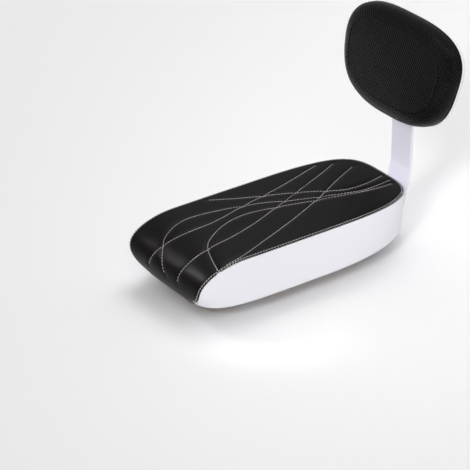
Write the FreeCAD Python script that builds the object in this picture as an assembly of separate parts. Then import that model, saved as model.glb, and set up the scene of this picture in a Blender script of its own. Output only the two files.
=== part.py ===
import FreeCAD, Part
import math
import os

from FreeCAD import Vector

os.makedirs("parts", exist_ok=True)

# A padded passenger seat with a backrest on a bent flat bar, clamped on the two rails of a carrier.
# Millimetres. X to the side, -Y to the front, +Z up.
# The origin is on the underside of the bar's leg, midway between the two clamps.

# Covers
cover_thickness = 1.2
soft_gap = 0.3

# Seat outline seen from above
seat_widest_y = -10.0
seat_base_half_width = 88.0
seat_base_rear_length = 176.0
seat_base_front_length = 158.0
seat_seam_front_length = 206.0
seat_front_power = 5.0
seat_base_rear_power = 2.45
seat_seam_half_width = 78.0
seat_seam_rear_length = 167.5
seat_seam_rear_power = 3.8

# Seat profile seen from the side
seat_seam_height = 57.0
seat_toe_y = -165.0
seat_belly_y = -178.0
seat_belly_height = 27.5
front_round_length = 67.0
top_crown = 3.0
front_crown = 1.5
crown_power = 4.0
front_rise_height = 48.0
front_rise_power = 1.3
side_bulge_power = 1.4
bottom_edge_round = 5.0
flange_width = 24.0
front_flange_half_width = 46.0

# Base board
board_thickness = 12.0

# Bar of the backrest
bar_width = 38.0
bar_thickness = 4.0
bar_leg_front_y = -60.0
bar_foot_y = 173.0
bar_upright_y = 186.0
bar_knee_z = 62.0
bar_neck_z = 165.0
bar_top_length = 72.0
bar_foot_radius = 8.0
bar_knee_radius = 20.0
bar_end_radius = 8.0
bar_edge_round = 0.8
channel_clearance = 0.5
backrest_tilt = 11.5

# Backrest pad, measured in its own leaning plane
pad_half_width = 101.0
pad_half_height = 66.5
pad_power = 2.9
pad_taper = 0.09
pad_centre_up = 33.0
pad_board_thickness = 6.0
pad_side_depth = 24.0
pad_crown = 6.0
pad_front_round = 20.0
pad_back_round = 5.0

# Fasteners, M6
thread_radius = 3.0
clearance_radius = 3.3
tee_barrel_radius = 4.0
tee_barrel_length = 7.0
pad_tee_barrel_length = 4.0
tee_flange_radius = 9.5
tee_flange_thickness = 1.5
screw_head_radius = 6.0
screw_head_height = 3.0
screw_length = 10.0
socket_radius = 2.0
socket_depth = 2.0
leg_screw_ys = (-40.0, 50.0, 140.0)
washer_radius = 6.0
washer_thickness = 1.6
hex_across_flats = 10.0
hex_head_height = 4.0
button_radius = 5.5
button_height = 3.3
button_round = 1.5
backrest_bolt_ups = (15.0, 55.0)
backrest_bolt_reach = 6.0

# Clamps
rail_gap = 12.5
clamp_y = 100.0
clamp_bolt_x = 27.0
clamp_half_length = 57.0
clamp_width = 25.0
clamp_thickness = 3.0
clamp_lip_height = 6.0
clamp_bend_radius = 3.5
clamp_corner_radius = 3.5
clamp_bolt_reach = 11.4

# Spring washers
spring_radius = 5.5
spring_thickness = 1.5
spring_slit = 0.8

# Staples
staple_count = 26
staple_crown = 10.0
staple_wire = 0.9
staple_leg = 6.0
staple_inset = 13.0

# Stitch lines: each point is a place across the seat and a place along it.
# Along the seat, -1 is the front's lower edge, 0 its belly and 1 the end of its rounding.
# Each further 1 is a row step.
row_step = 100.0
stitch_width = 1.4
stitch_height = 0.6
lower_stitch_lines = (
    ((-30, -0.15), (-21, 0.45), (-15, 0.85), (-17, 1.2), (-29, 1.7), (-42, 2.33), (-64, 3.1)),
    ((30, -0.05), (32, 0.4), (31, 0.8), (26, 1.15), (15, 1.55), (-2, 2.0), (-38, 2.92), (-56, 3.33)),
    ((73, 0.72), (71, 0.95), (60, 1.28), (44, 1.73), (26, 2.19), (6, 2.63), (-17, 3.08), (-35, 3.48)),
)
upper_stitch_lines = (
    ((7, 3.6), (12, 3.3), (10, 3.0), (-3, 2.75), (-20, 2.44), (-35, 2.1), (-48, 1.8), (-68, 1.44)),
    (
        (22, 3.6), (24, 3.3), (19, 3.0), (-4, 2.33), (-22, 1.94),
        (-37, 1.4), (-42, 0.95), (-31, 0.57), (-10, 0.27), (6, -0.1),
    ),
    (
        (31, 3.56), (28, 3.24), (12, 2.56), (-4, 1.98), (-10, 1.6),
        (-5, 1.28), (10, 0.98), (30, 0.77), (75, 0.58),
    ),
)

# How finely formulas are followed
small_step = 0.01
cut_margin = 1.0
hexagon_sides = 6
outline_points = 56
row_spacing = 10.0
lowest_row = -1.5
highest_row = 4.0
side_points = 6
wall_levels = 6
wall_degree = 3
wall_overrun = 1.4
round_steps = 4
thread_steps = 4
reach = 400.0

# Guides of a rounded edge: each a rise and an inset, as shares of the rounding
round_guides = ((0.0, 1.0), (0.0, 0.4), (0.4, 0.0))

# Guides of the pad's crowned front: shares of its size, and the half size of its flat tip
crown_guides = (0.75, 0.5, 0.25, 0.1)
crown_tip = 1.0

# Sizes that follow from those above
core_floor = cover_thickness
board_top = core_floor + board_thickness
front_round_y = seat_belly_y + front_round_length
wall_height = wall_overrun * seat_seam_height
tilt = math.radians(backrest_tilt)
clamp_top = -rail_gap
clamp_bottom = clamp_top - clamp_thickness
pad_seam = cover_thickness + pad_board_thickness
pad_rim = pad_seam + pad_side_depth
bar_half = bar_thickness / 2
channel_half_width = bar_width / 2 + channel_clearance


def power_curve(angle, power):
    """Cosine and sine of an angle, squared off so that the pair draws a rounded box."""
    cosine = math.cos(angle)
    sine = math.sin(angle)
    squared_cosine = math.copysign(abs(cosine) ** (2 / power), cosine)
    squared_sine = math.copysign(abs(sine) ** (2 / power), sine)
    return squared_cosine, squared_sine


def outline(half_width, front_length, rear_length, front_power, rear_power):
    """Points of a closed outline that starts at its rear tip, rounder at one end than at the other."""
    points = []
    for index in range(outline_points):
        angle = 2 * math.pi * index / outline_points
        at_rear = math.cos(angle) >= 0
        power = rear_power if at_rear else front_power
        length = rear_length if at_rear else front_length
        along, across = power_curve(angle, power)
        points.append((half_width * across, length * along))
    return points


def walled_solid(levels):
    """A solid with flat ends and one smooth wall, guided by levels: each a height and its outline."""
    poles = []
    for index in reversed(range(outline_points)):
        column = []
        for height, points in levels:
            column.append(Vector(points[index][0], points[index][1], height))
        poles.append(column)
    round_knots = list(range(outline_points + 1))
    rise_knots = list(range(len(levels) - wall_degree + 1))
    round_counts = [1] * len(round_knots)
    rise_counts = [1] * len(rise_knots)
    rise_counts[0] = wall_degree + 1
    rise_counts[-1] = wall_degree + 1
    surface = Part.BSplineSurface()
    surface.buildFromPolesMultsKnots(
        poles, round_counts, rise_counts, round_knots, rise_knots, True, False, wall_degree, wall_degree
    )
    wall = surface.toShape()
    faces = [wall]
    for edge in wall.Edges:
        if edge.BoundBox.ZLength < soft_gap:
            faces.append(Part.Face(Part.Wire([edge])))
    shell = Part.makeShell(faces)
    shell.sewShape()
    return Part.makeSolid(shell)


def prism(points, bottom, top):
    """An upright solid with a smooth outline through points."""
    curve = Part.BSplineCurve()
    curve.interpolate(Points=[Vector(x, y, bottom) for x, y in points], PeriodicFlag=True)
    return Part.Face(Part.Wire([curve.toShape()])).extrude(Vector(0, 0, top - bottom))


def solid_below(grid, direction):
    """The solid swept by a smooth surface through a grid of points, moved along a direction."""
    surface = Part.BSplineSurface()
    surface.interpolate(grid)
    return surface.toShape().extrude(direction)


def group(shapes):
    """Several separate solids as one shape."""
    return Part.makeCompound(shapes)


def cylinder(radius, bottom, top, x, y):
    """An upright cylinder between two heights."""
    return Part.makeCylinder(radius, top - bottom, Vector(x, y, bottom))


def ring(outer, inner, bottom, top, x, y):
    """An upright washer between two heights."""
    return cylinder(outer, bottom, top, x, y).cut(cylinder(inner, bottom, top, x, y))


def hexagon(across_flats, bottom, top, x, y):
    """An upright hexagonal prism between two heights."""
    radius = across_flats / math.sqrt(3)
    corners = []
    for index in range(hexagon_sides + 1):
        angle = 2 * math.pi * index / hexagon_sides
        corners.append(Vector(x + radius * math.cos(angle), y + radius * math.sin(angle), bottom))
    face = Part.Face(Part.makePolygon(corners))
    return face.extrude(Vector(0, 0, top - bottom))


# Seat


def seat_outline(height, inset, front_inset):
    """The seat's outline at a height, drawn in from the covers' outside, at its front by another inset."""
    share = (max(height, 0) / seat_seam_height) ** side_bulge_power
    rise = math.sin(math.pi / 2 * min(max(height, 0) / front_rise_height, 1)) ** front_rise_power
    front_length = seat_base_front_length + rise * (seat_seam_front_length - seat_base_front_length)
    half_width = seat_base_half_width + share * (seat_seam_half_width - seat_base_half_width)
    rear_length = seat_base_rear_length + share * (seat_seam_rear_length - seat_base_rear_length)
    rear_power = seat_base_rear_power + share * (seat_seam_rear_power - seat_base_rear_power)
    front_length -= front_inset
    rear_length -= inset
    points = outline(half_width - inset, front_length, rear_length, seat_front_power, rear_power)
    return [(x, y + seat_widest_y) for x, y in points]


def lower_rounding(depth, radius, level_outline):
    """Levels of a rounded lower edge, drawn in by a depth; an outline is had from a height and an inset."""
    turn = radius - depth
    levels = []
    for rise, inset in round_guides:
        height = depth + rise * turn
        levels.append((height, level_outline(height, depth + inset * turn)))
    return levels


def seat_wall(height, inset):
    """The outline of the seat's walls, which run on before the front of the top panel."""
    return seat_outline(height, inset, 0)


def seat_column(depth):
    """Everything inside the seat's walls, drawn in by a depth, with the lower edge rounded."""
    levels = lower_rounding(depth, bottom_edge_round, seat_wall)
    for index in range(1, wall_levels + 1):
        height = index / wall_levels * wall_height
        levels.append((height, seat_wall(height, depth)))
    return walled_solid(levels)


def seat_crown(x):
    """Share of the crown at a place across the seat: one in the middle, none at the seam."""
    return 1 - abs(x / seat_seam_half_width) ** crown_power


def seat_surface_point(x, row, depth):
    """A point of the top panel's face, drawn in by a depth, at a place across and a row along."""
    crown = seat_crown(x)
    angle = math.pi / 2 * min(max(row, 0), 1)
    below = max(-row, 0)
    length = front_round_length + front_crown * crown - depth
    height = seat_seam_height + top_crown * crown - depth - seat_belly_height
    y = front_round_y - length * math.cos(angle) + (seat_toe_y - seat_belly_y) * below**2
    z = seat_belly_height + height * math.sin(angle) - seat_belly_height * below
    y += row_step * max(row - 1, 0)
    return Vector(x, y, z)


def seat_surface_normal(x, row):
    """The outward direction of the top panel at a place."""
    across = seat_surface_point(x + small_step, row, 0) - seat_surface_point(x - small_step, row, 0)
    along = seat_surface_point(x, row + small_step, 0) - seat_surface_point(x, row - small_step, 0)
    normal = across.cross(along)
    normal.normalize()
    return normal


def even_rows():
    """Rows along the top panel at even distances, from below the front's edge to behind the seat."""
    row = lowest_row
    rows = [row]
    travelled = 0.0
    while row < highest_row:
        here = seat_surface_point(0, row, 0)
        there = seat_surface_point(0, row + small_step, 0)
        travelled += here.distanceToPoint(there)
        row += small_step
        if travelled >= row_spacing:
            rows.append(row)
            travelled -= row_spacing
    return rows


def under_seat_top(depth):
    """Everything below and behind the top panel's face, drawn in by a depth."""
    grid = []
    for row in even_rows():
        line = []
        for index in range(-side_points, side_points + 1):
            x = index / side_points * seat_base_half_width
            line.append(seat_surface_point(x, row, depth))
        grid.append(line)
    return solid_below(grid, Vector(0, reach, -reach / 2))


def seat_cushion(depth):
    """The whole padded block, drawn in by a depth."""
    return seat_column(depth).common(under_seat_top(depth))


def staple_places():
    """Middle and direction of each staple round the underside, clear of the bar's leg."""
    inset = bottom_edge_round + staple_inset
    points = seat_outline(core_floor, inset, inset)
    curve = Part.BSplineCurve()
    curve.interpolate(Points=[Vector(x, y, 0) for x, y in points], PeriodicFlag=True)
    wire = Part.Wire([curve.toShape()])
    edge = wire.Edges[0]
    places = []
    for index in range(staple_count):
        parameter = edge.getParameterByLength((index + 0.5) * edge.Length / staple_count)
        places.append((edge.valueAt(parameter), edge.tangentAt(parameter)))
    return [place for place in places if abs(place[0].x) > bar_width / 2 + staple_crown or place[0].y < 0]


def staple():
    """One staple at the origin, its crown under the cover and its legs upward."""
    half = staple_crown / 2
    wire = staple_wire
    crown = Part.makeBox(staple_crown, wire, wire, Vector(-half, -wire / 2, -wire))
    legs = []
    for x in (-half, half - wire):
        legs.append(Part.makeBox(wire, wire, staple_leg, Vector(x, -wire / 2, 0)))
    return crown.fuse(legs).removeSplitter()


def seat_staples():
    """All the staples in their places."""
    staples = []
    for middle, direction in staple_places():
        piece = staple()
        piece.rotate(Vector(0, 0, 0), Vector(0, 0, 1), math.degrees(math.atan2(direction.y, direction.x)))
        piece.translate(middle)
        staples.append(piece)
    return group(staples)


def leg_space():
    """The room that the covers and the board leave for the bar's leg."""
    width = 2 * channel_half_width
    start = bar_leg_front_y - channel_clearance
    corner = Vector(-channel_half_width, start, -cut_margin)
    return Part.makeBox(width, reach, bar_thickness + cut_margin, corner)


def tee_nut_places():
    """Places of the tee nuts in the base board: those of the clamps and those of the bar's leg."""
    places = [(x, y) for x in (-clamp_bolt_x, clamp_bolt_x) for y in (-clamp_y, clamp_y)]
    return places + [(0.0, y) for y in leg_screw_ys]


def tee_nut(top, barrel_length, x, y):
    """A tee nut whose flange is level with the board's top, with a plain bore."""
    flange_bottom = top - tee_flange_thickness
    flange = cylinder(tee_flange_radius, flange_bottom, top, x, y)
    barrel = cylinder(tee_barrel_radius, flange_bottom - barrel_length, flange_bottom, x, y)
    bore = cylinder(thread_radius, flange_bottom - barrel_length, top, x, y)
    return flange.fuse(barrel).cut(bore)


def tee_nut_room(top, barrel_length, bottom, x, y):
    """The stepped hole that a board has for a tee nut and its bolt."""
    flange_bottom = top - tee_flange_thickness
    flange = cylinder(tee_flange_radius, flange_bottom, top, x, y)
    barrel = cylinder(tee_barrel_radius, flange_bottom - barrel_length, flange_bottom, x, y)
    bolt = cylinder(clearance_radius, bottom, flange_bottom, x, y)
    return flange.fuse([barrel, bolt])


def build_seat():
    """Cover pieces, foam, board, staples and tee nuts of the seat, by node."""
    whole = seat_cushion(0)
    core = seat_cushion(cover_thickness)
    slab_corner = Vector(-reach, -reach, -cut_margin)
    slab = Part.makeBox(2 * reach, 2 * reach, board_top + cut_margin, slab_corner)
    staples = seat_staples()

    flange_inset = bottom_edge_round + flange_width
    opening_points = seat_outline(core_floor, flange_inset, flange_inset)
    opening = prism(opening_points, -cut_margin, core_floor + soft_gap)
    covers = whole.cut([core, opening, leg_space()])

    behind_panel = under_seat_top(cover_thickness)
    flange_length = flange_inset + front_crown
    front_flange = Part.makeBox(
        2 * front_flange_half_width,
        2 * flange_length,
        bottom_edge_round,
        Vector(-front_flange_half_width, seat_toe_y - flange_length, -cut_margin),
    )
    band = covers.common(behind_panel).cut(front_flange)
    panel = covers.cut(band)

    board = core.common(slab)
    rooms = [leg_space()]
    for x, y in tee_nut_places():
        rooms.append(tee_nut_room(board_top, tee_barrel_length, -cut_margin, x, y))
    board = board.cut(rooms).cut(staples.Solids)
    foam = core.cut(slab)
    nuts = [tee_nut(board_top, tee_barrel_length, x, y) for x, y in tee_nut_places()]
    return {
        "seat_top_panel": panel.cut(staples.Solids),
        "seat_side_band": band.cut(staples.Solids),
        "seat_foam": foam,
        "seat_base_board": board,
        "seat_cover_staples": staples,
        "seat_tee_nuts": group(nuts),
    }


def stitch_line(points, lift):
    """One flat thread laid along points of the top panel, lifted clear of it."""
    corners = {}
    for side in (-0.5, 0.5):
        for top in (0.0, 1.0):
            places = []
            for index, (x, row) in enumerate(points):
                before = points[max(index - 1, 0)]
                after = points[min(index + 1, len(points) - 1)]
                run = seat_surface_point(*after, 0) - seat_surface_point(*before, 0)
                normal = seat_surface_normal(x, row)
                across = run.cross(normal)
                across.normalize()
                rise = normal * (lift + top * stitch_height)
                places.append(seat_surface_point(x, row, 0) + across * (side * stitch_width) + rise)
            curve = Part.BSplineCurve()
            curve.interpolate(Points=places)
            corners[side, top] = curve.toShape()
    order = ((-0.5, 0.0), (0.5, 0.0), (0.5, 1.0), (-0.5, 1.0))
    faces = []
    for start, end in zip(order, order[1:] + order[:1]):
        faces.append(Part.makeRuledSurface(corners[start], corners[end]))
    for end in (0, 1):
        ends = [corners[key].Vertexes[end].Point for key in order]
        faces.append(Part.makeFilledFace(Part.makePolygon(ends + ends[:1]).Edges))
    shell = Part.makeShell(faces)
    shell.sewShape()
    return Part.makeSolid(shell)


def dense(points):
    """More points along a stitch line, on a smooth curve through the given ones."""
    curve = Part.BSplineCurve()
    curve.interpolate(Points=[Vector(x, row * row_step, 0) for x, row in points])
    count = thread_steps * len(points)
    first = curve.FirstParameter
    places = []
    for index in range(count + 1):
        place = curve.value(first + index / count * (curve.LastParameter - first))
        places.append((place.x, place.y / row_step))
    return places


def build_stitches():
    """The decorative threads; one family passes over the other."""
    threads = [stitch_line(dense(points), soft_gap) for points in lower_stitch_lines]
    over = 2 * soft_gap + stitch_height
    threads += [stitch_line(dense(points), over) for points in upper_stitch_lines]
    return {"seat_stitch_lines": group(threads)}


# Bar


def strip_side(path, radii, shift):
    """Edges of one side of a bent strip: straight runs joined by arcs, seen from the side."""
    runs = []
    for start, end in zip(path[:-1], path[1:]):
        run = end - start
        run.normalize()
        runs.append(run)
    normals = [Vector(0, -run.z, run.y) for run in runs]
    corners = [path[0] + normals[0] * shift]
    for index in range(1, len(path) - 1):
        before = normals[index - 1]
        after = normals[index]
        corners.append(path[index] + (before + after) * (shift / (1 + before.dot(after))))
    corners.append(path[-1] + normals[-1] * shift)

    edges = []
    here = corners[0]
    for index in range(1, len(path) - 1):
        arriving = runs[index - 1]
        leaving = runs[index]
        turn = math.acos(arriving.dot(leaving))
        way = math.copysign(1, normals[index - 1].dot(leaving))
        radius = radii[index - 1] - way * shift
        tangent = radius * math.tan(turn / 2)
        start = corners[index] - arriving * tangent
        end = corners[index] + leaving * tangent
        inward = leaving - arriving
        inward.normalize()
        middle = corners[index] + inward * (radius / math.cos(turn / 2) - radius)
        edges.append(Part.makeLine(here, start))
        edges.append(Part.Arc(start, middle, end).toShape())
        here = end
    edges.append(Part.makeLine(here, corners[-1]))
    return edges, corners


def bent_strip(path, radii, thickness, width):
    """A strip of one thickness bent along a path in the side view, centred across."""
    low_edges, low = strip_side(path, radii, -thickness / 2)
    high_edges, high = strip_side(path, radii, thickness / 2)
    caps = [Part.makeLine(low[0], high[0]), Part.makeLine(low[-1], high[-1])]
    wire = Part.Wire(Part.__sortEdges__(low_edges + high_edges + caps))
    strip = Part.Face(wire).extrude(Vector(width, 0, 0))
    strip.translate(Vector(-width / 2, 0, 0))
    return strip


def bar_path():
    """Middle line of the bar from the end of its leg to its top."""
    neck = Vector(0, bar_upright_y, bar_neck_z)
    return [
        Vector(0, bar_leg_front_y, bar_half),
        Vector(0, bar_foot_y, bar_half),
        Vector(0, bar_upright_y, bar_knee_z),
        neck,
        neck + Vector(0, math.sin(tilt), math.cos(tilt)) * bar_top_length,
    ]


def on_backrest(shape):
    """Moves a shape from the pad's leaning plane, with its depth to the front, to its place."""
    shape.rotate(Vector(0, 0, 0), Vector(1, 0, 0), 90 - backrest_tilt)
    forward = Vector(0, -math.cos(tilt), math.sin(tilt))
    shape.translate(Vector(0, bar_upright_y, bar_neck_z) + forward * bar_half)
    return shape


def end_rounding(shape, start, end, radius):
    """Rounds the four corners of a flat strip's ends, at two places along its end edges."""
    corners = []
    for edge in shape.Edges:
        if abs(edge.Length - bar_thickness) < small_step:
            middle = edge.CenterOfMass
            near = min(middle.distanceToPoint(start), middle.distanceToPoint(end))
            if near < bar_width:
                corners.append(edge)
    return shape.makeFillet(radius, corners)


def build_bar():
    """The bent bar with its rounded ends and holes, and the screws of its leg."""
    path = bar_path()
    bar = bent_strip(path, (bar_foot_radius, bar_knee_radius, bar_knee_radius), bar_thickness, bar_width)
    bar = end_rounding(bar, path[0], path[-1], bar_end_radius)
    sides = []
    for edge in bar.Edges:
        at_side = abs(abs(edge.CenterOfMass.x) - bar_width / 2) < small_step
        if at_side and edge.Length > bar_thickness + small_step:
            sides.append(edge)
    bar = bar.makeFillet(bar_edge_round, sides)
    holes = []
    screws = []
    for y in leg_screw_ys:
        head = Part.makeCone(screw_head_radius, thread_radius, screw_head_height, Vector(0, y, 0))
        holes.append(head.fuse(cylinder(clearance_radius, 0, bar_thickness, 0, y)))
        shank = cylinder(thread_radius, screw_head_height, screw_length, 0, y)
        socket = hexagon(2 * socket_radius, 0, socket_depth, 0, y)
        screws.append(head.fuse(shank).cut(socket))
    for up in backrest_bolt_ups:
        holes.append(on_backrest(cylinder(clearance_radius, -2 * bar_thickness, bar_thickness, 0, up)))
    return {"backrest_bar": bar.cut(holes), "bar_leg_screws": group(screws)}


# Backrest


def pad_outline(half_width, half_height):
    """An outline in the pad's own plane, wider at the top."""
    points = outline(half_width, half_height, half_height, pad_power, pad_power)
    return [(x * (1 + pad_taper * y / pad_half_height), y + pad_centre_up) for x, y in points]


def pad_level(height, inset):
    """The pad's outline at a height, drawn in by an inset."""
    return pad_outline(pad_half_width - inset, pad_half_height - inset)


def pad_cushion(depth):
    """The whole pad, drawn in by a depth: rounded rear edge, widely rounded front edge, crowned front."""
    levels = lower_rounding(depth, pad_back_round, pad_level)
    turn = pad_front_round - depth
    for step in range(round_steps + 1):
        angle = math.pi / 2 * step / round_steps
        height = pad_rim - pad_front_round + turn * math.sin(angle)
        levels.append((height, pad_level(height, depth + turn * (1 - math.cos(angle)))))
    for size in crown_guides:
        height = pad_rim - depth + pad_crown * (1 - size**2)
        half_width = size * (pad_half_width - pad_front_round)
        levels.append((height, pad_outline(half_width, size * (pad_half_height - pad_front_round))))
    levels.append((levels[-1][0], pad_outline(crown_tip, crown_tip)))
    return walled_solid(levels)


def build_backrest():
    """Covers, foam, board, tee nuts, bolts and washers of the backrest, by node."""
    whole = pad_cushion(0)
    core = pad_cushion(cover_thickness)
    slab = Part.makeBox(2 * reach, 2 * reach, reach, Vector(-reach, -reach, pad_seam - reach))
    covers = whole.cut(core)
    washer_back = -bar_thickness - washer_thickness
    rooms = []
    nuts = []
    bolts = []
    washers = []
    passages = []
    for up in backrest_bolt_ups:
        rooms.append(tee_nut_room(pad_seam, pad_tee_barrel_length, 0, 0, up))
        passages.append(cylinder(clearance_radius, -cut_margin, pad_seam, 0, up))
        nuts.append(tee_nut(pad_seam, pad_tee_barrel_length, 0, up))
        washers.append(ring(washer_radius, clearance_radius, washer_back, -bar_thickness, 0, up))
        head = cylinder(button_radius, washer_back - button_height, washer_back, 0, up)
        crown_edges = [edge for edge in head.Edges if edge.CenterOfMass.z < washer_back - button_height / 2]
        crown_edges = [edge for edge in crown_edges if len(edge.Vertexes) == 1]
        head = head.makeFillet(button_round, crown_edges)
        shank = cylinder(thread_radius, washer_back, backrest_bolt_reach, 0, up)
        lowest = washer_back - button_height
        socket = hexagon(2 * socket_radius, lowest, lowest + socket_depth, 0, up)
        bolts.append(head.fuse(shank).cut(socket))
    pieces = {
        "backrest_back_cover": covers.common(slab).cut(passages),
        "backrest_front_cover": covers.cut(slab),
        "backrest_board": core.common(slab).cut(rooms),
        "backrest_foam": core.cut(slab),
        "backrest_tee_nuts": group(nuts),
        "backrest_bolts": group(bolts),
        "backrest_washers": group(washers),
    }
    return {node: on_backrest(shape) for node, shape in pieces.items()}


# Clamps


def clamp_plate(y):
    """A flat strip under the rails with both ends turned up, and two bolt holes."""
    middle = clamp_top - clamp_thickness / 2
    lip_x = clamp_half_length - clamp_thickness / 2
    lip_top = clamp_top + clamp_lip_height
    corners = ((-lip_x, lip_top), (-lip_x, middle), (lip_x, middle), (lip_x, lip_top))
    path = [Vector(0, across, height) for across, height in corners]
    plate = bent_strip(path, (clamp_bend_radius, clamp_bend_radius), clamp_thickness, clamp_width)
    lips = []
    for edge in plate.Edges:
        at_lip = abs(edge.CenterOfMass.z - lip_top) < small_step
        if at_lip and abs(edge.Length - clamp_thickness) < small_step:
            lips.append(edge)
    plate = plate.makeFillet(clamp_corner_radius, lips)
    plate.rotate(Vector(0, 0, 0), Vector(0, 0, 1), 90)
    plate.translate(Vector(0, y, 0))
    holes = []
    for x in (-clamp_bolt_x, clamp_bolt_x):
        holes.append(cylinder(clearance_radius, clamp_bottom, clamp_top, x, y))
    return plate.cut(holes)


def build_clamps():
    """Both clamp plates with their bolts, washers and spring washers, by node."""
    washer_bottom = clamp_bottom - washer_thickness
    spring_bottom = washer_bottom - spring_thickness
    head_bottom = spring_bottom - hex_head_height
    bolts = []
    washers = []
    springs = []
    for x in (-clamp_bolt_x, clamp_bolt_x):
        for y in (-clamp_y, clamp_y):
            head = hexagon(hex_across_flats, head_bottom, spring_bottom, x, y)
            shank = cylinder(thread_radius, spring_bottom, clamp_bolt_reach, x, y)
            bolts.append(head.fuse(shank))
            washers.append(ring(washer_radius, clearance_radius, washer_bottom, clamp_bottom, x, y))
            slit = Part.makeBox(spring_radius, spring_slit, spring_thickness, Vector(x, y, spring_bottom))
            spring = ring(spring_radius, clearance_radius, spring_bottom, washer_bottom, x, y)
            springs.append(spring.cut(slit))
    return {
        "front_clamp_plate": clamp_plate(-clamp_y),
        "rear_clamp_plate": clamp_plate(clamp_y),
        "clamp_bolts": group(bolts),
        "clamp_washers": group(washers),
        "clamp_spring_washers": group(springs),
    }


pieces = {}
for build in (build_seat, build_stitches, build_bar, build_backrest, build_clamps):
    pieces.update(build())
for node, shape in pieces.items():
    shape.exportStep("parts/" + node + ".step")
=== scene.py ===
import math

import bpy
import numpy as np
from mathutils import Euler, Matrix, Vector


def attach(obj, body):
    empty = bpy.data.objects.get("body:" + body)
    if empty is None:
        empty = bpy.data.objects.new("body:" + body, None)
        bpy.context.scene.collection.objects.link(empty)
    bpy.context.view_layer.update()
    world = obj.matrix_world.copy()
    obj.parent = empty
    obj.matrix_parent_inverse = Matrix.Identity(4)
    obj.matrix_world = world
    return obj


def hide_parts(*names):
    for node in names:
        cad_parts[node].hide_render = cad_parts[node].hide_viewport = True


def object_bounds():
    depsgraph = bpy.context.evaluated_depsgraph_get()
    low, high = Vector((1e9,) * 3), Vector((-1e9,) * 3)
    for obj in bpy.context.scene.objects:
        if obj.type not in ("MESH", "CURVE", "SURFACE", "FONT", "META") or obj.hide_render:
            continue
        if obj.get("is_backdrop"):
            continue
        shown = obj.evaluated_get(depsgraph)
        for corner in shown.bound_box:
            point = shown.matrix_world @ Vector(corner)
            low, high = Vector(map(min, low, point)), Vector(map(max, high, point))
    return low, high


bl_info = {
    "name": "Carrier cushion seat",
    "version": (1, 0, 0),
    "blender": (4, 5, 0),
    "location": "View3D > Sidebar > Cushion seat",
    "description": "Dresses a padded carrier seat with its covers, stitching, paint and a plain studio",
    "category": "Object",
}

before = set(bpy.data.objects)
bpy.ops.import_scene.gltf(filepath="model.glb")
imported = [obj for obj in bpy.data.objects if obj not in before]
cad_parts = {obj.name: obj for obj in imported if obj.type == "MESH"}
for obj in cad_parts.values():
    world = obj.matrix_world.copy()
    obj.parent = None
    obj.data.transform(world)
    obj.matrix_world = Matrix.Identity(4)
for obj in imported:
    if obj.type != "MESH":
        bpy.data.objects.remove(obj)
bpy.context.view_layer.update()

MM = 0.001
SIM_FRAMES = 20
TARGETS_AT_ONCE = 64

# How covers are held and sewn: the first value is a share, the others are in millimetres
STITCH_HOLD = 0.7
STITCH_HOLD_REACH = 2.5
HELD_HEIGHT = 10.0
SEAM_DEPTH = 0.7
BACK_SEAM_DEPTH = 0.8
SEAM_WIDTH = 1.8
ROLL_WIDTH = 3.0


def linear_colour(hex_code):
    """Turns an sRGB hex value into linear red, green and blue."""
    channels = np.array([int(hex_code[i : i + 2], 16) for i in (1, 3, 5)]) / 255.0
    linear = np.where(channels <= 0.04045, channels / 12.92, ((channels + 0.055) / 1.055) ** 2.4)
    return tuple(float(value) for value in linear)


def size_property(name, description, default_mm):
    """A length property whose default is given in millimetres."""
    return bpy.props.FloatProperty(
        name=name, description=description, default=default_mm * MM, unit="LENGTH", precision=5
    )


def colour_property(name, description, hex_code):
    """A colour property whose default is given as an sRGB hex value."""
    colour = linear_colour(hex_code)
    return bpy.props.FloatVectorProperty(
        name=name, description=description, default=colour, subtype="COLOR", size=3, min=0.0, max=1.0
    )


class SeatSizes(bpy.types.PropertyGroup):
    """Sizes of the seat's cover."""

    toe_y: size_property("Toe", "Place of the front's lower edge along the seat", -165.0)
    belly_y: size_property("Belly", "Place of the foremost part of the front along the seat", -178.0)
    belly_height: size_property("Belly height", "Height of the foremost part of the front", 27.5)
    widest_y: size_property("Widest place", "Where the seat is widest", -10.0)
    base_half_width: size_property("Base half width", "Half the width at the foot of the band", 88.0)
    base_rear: size_property("Base rear length", "From the widest place to the rear at the foot", 176.0)
    base_front: size_property("Base front length", "From the widest place to the front at the foot", 158.0)
    seam_front: size_property("Seam front length", "From the widest place to the front at the top", 206.0)
    front_rise: size_property("Front rise", "Height over which the band's front end grows longer", 48.0)
    seam_half_width: size_property("Seam half width", "Half the width at the seam", 78.0)
    seam_rear: size_property("Seam rear length", "From the widest place to the rear at the seam", 167.5)
    seam_height: size_property("Seam height", "Height of the seam above the underside", 57.0)
    round_length: size_property("Front rounding", "Length of the rounding over the front", 67.0)
    top_crown: size_property("Top crown", "Rise of the top above the seam before it swells", 1.0)
    front_crown: size_property("Front crown", "Bow of the front before it swells", 1.2)
    edge_roll: size_property("Edge roll", "How far the top rolls over beside its seam", 1.6)
    edge_round: size_property("Lower edge", "Rounding of the lower edge", 5.0)
    flange: size_property("Turned-under width", "Width of the cover turned under the board", 24.0)
    swell: size_property("Largest swell", "How far the filling may push the cover out", 2.0)
    cover: size_property("Cover thickness", "Thickness of the leathercloth", 1.0)


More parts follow.
